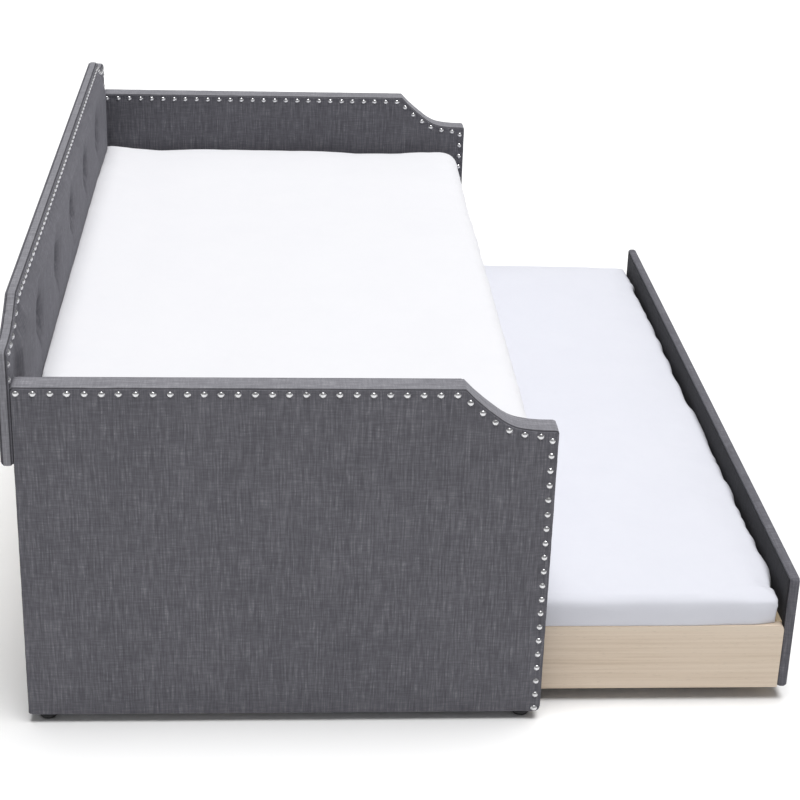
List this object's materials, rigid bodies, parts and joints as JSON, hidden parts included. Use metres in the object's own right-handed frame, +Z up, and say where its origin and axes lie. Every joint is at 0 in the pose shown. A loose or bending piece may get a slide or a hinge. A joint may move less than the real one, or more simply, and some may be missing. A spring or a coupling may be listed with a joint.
{
  "type": "trundle bed",
  "caption": "Upholstered daybed with scalloped arm panels, a low tufted back and nailhead trim, and a wheeled trundle bed that pulls out from under it.",
  "frame": {"origin": "on the floor, under the middle of the whole bed with the trundle pulled half-way out", "axes": "+X along the bed's length towards the right-hand arm as seen from the front, +Y towards the back panel, +Z up; the trundle pulls out towards -Y"},
  "size_m": [2.0874, 1.564, 0.847],
  "materials": {
    "linen_grey": "heathered grey linen weave",
    "linen_charcoal": "dark charcoal linen weave",
    "seam_thread": "matching sewing thread",
    "tuft_button": "fabric-covered tuft",
    "nail_nickel": "polished nickel",
    "core_board": "raw engineered board",
    "pine": "planed pine",
    "birch_rail": "pale fine-grained satin wood",
    "slat_wood": "planed poplar slat",
    "bedding": "white cotton bedding",
    "trundle_bedding": "white quilted cotton cover",
    "webbing": "black dust cloth and webbing",
    "glide_plastic": "black moulded plastic",
    "zinc_steel": "zinc-plated steel",
    "wheel_nylon": "dark grey nylon"
  },
  "bodies": {
    "daybed": {"left_arm_cover": "linen_grey", "left_arm_core": "core_board", "left_arm_outer_nail_trim": "nail_nickel", "left_arm_inner_nail_trim": "nail_nickel", "left_front_glide": "glide_plastic", "left_rear_glide": "glide_plastic", "left_front_rail_bracket": "zinc_steel", "left_rear_rail_bracket": "zinc_steel", "right_arm_cover": "linen_grey", "right_arm_core": "core_board", "right_arm_outer_nail_trim": "nail_nickel", "right_arm_inner_nail_trim": "nail_nickel", "right_front_glide": "glide_plastic", "right_rear_glide": "glide_plastic", "right_front_rail_bracket": "zinc_steel", "right_rear_rail_bracket": "zinc_steel", "back_panel_cover": "linen_grey", "back_panel_core": "core_board", "back_panel_nail_trim": "nail_nickel", "front_rail_cover": "linen_grey", "front_rail_core": "core_board", "rear_rail": "pine", "front_slat_ledger": "pine", "rear_slat_ledger": "pine", "slat_01": "slat_wood", "slat_02": "slat_wood", "slat_03": "slat_wood", "slat_04": "slat_wood", "slat_05": "slat_wood", "slat_06": "slat_wood", "slat_07": "slat_wood", "slat_08": "slat_wood", "slat_09": "slat_wood", "slat_10": "slat_wood", "daybed_mattress": "bedding"},
    "trundle": {"trundle_panel_cover": "linen_charcoal", "trundle_panel_core": "core_board", "trundle_left_end_rail": "birch_rail", "trundle_right_end_rail": "birch_rail", "trundle_rear_rail": "pine", "trundle_inner_front_rail": "pine", "trundle_slat_1": "slat_wood", "trundle_slat_2": "slat_wood", "trundle_slat_3": "slat_wood", "trundle_slat_4": "slat_wood", "trundle_slat_5": "slat_wood", "trundle_slat_6": "slat_wood", "trundle_mattress": "trundle_bedding", "left_rear_caster_fork": "zinc_steel", "left_rear_caster_axle": "zinc_steel", "left_front_caster_fork": "zinc_steel", "left_front_caster_axle": "zinc_steel", "right_rear_caster_fork": "zinc_steel", "right_rear_caster_axle": "zinc_steel", "right_front_caster_fork": "zinc_steel", "right_front_caster_axle": "zinc_steel"},
    "left_rear_wheel": {"left_rear_caster_wheel": "wheel_nylon"},
    "left_front_wheel": {"left_front_caster_wheel": "wheel_nylon"},
    "right_rear_wheel": {"right_rear_caster_wheel": "wheel_nylon"},
    "right_front_wheel": {"right_front_caster_wheel": "wheel_nylon"}
  },
  "joints": [
    {"name": "trundle_slide", "type": "slide", "parent": "daybed", "child": "trundle", "axis": [0, -1, 0], "range_m": [-0.52, 0.48]},
    {"name": "left_rear_wheel_roll", "type": "hinge", "parent": "trundle", "child": "left_rear_wheel", "pos_m": [-0.75, 0.153, 0.025], "axis": [1, 0, 0], "continuous": true},
    {"name": "left_front_wheel_roll", "type": "hinge", "parent": "trundle", "child": "left_front_wheel", "pos_m": [-0.75, -0.6867, 0.025], "axis": [1, 0, 0], "continuous": true},
    {"name": "right_rear_wheel_roll", "type": "hinge", "parent": "trundle", "child": "right_rear_wheel", "pos_m": [0.75, 0.153, 0.025], "axis": [1, 0, 0], "continuous": true},
    {"name": "right_front_wheel_roll", "type": "hinge", "parent": "trundle", "child": "right_front_wheel", "pos_m": [0.75, -0.6867, 0.025], "axis": [1, 0, 0], "continuous": true}
  ],
  "couplings": [
    {"joint": "left_rear_wheel_roll", "follows": "trundle_slide", "rad_per_m": 40},
    {"joint": "left_front_wheel_roll", "follows": "trundle_slide", "rad_per_m": 40},
    {"joint": "right_rear_wheel_roll", "follows": "trundle_slide", "rad_per_m": 40},
    {"joint": "right_front_wheel_roll", "follows": "trundle_slide", "rad_per_m": 40}
  ]
}
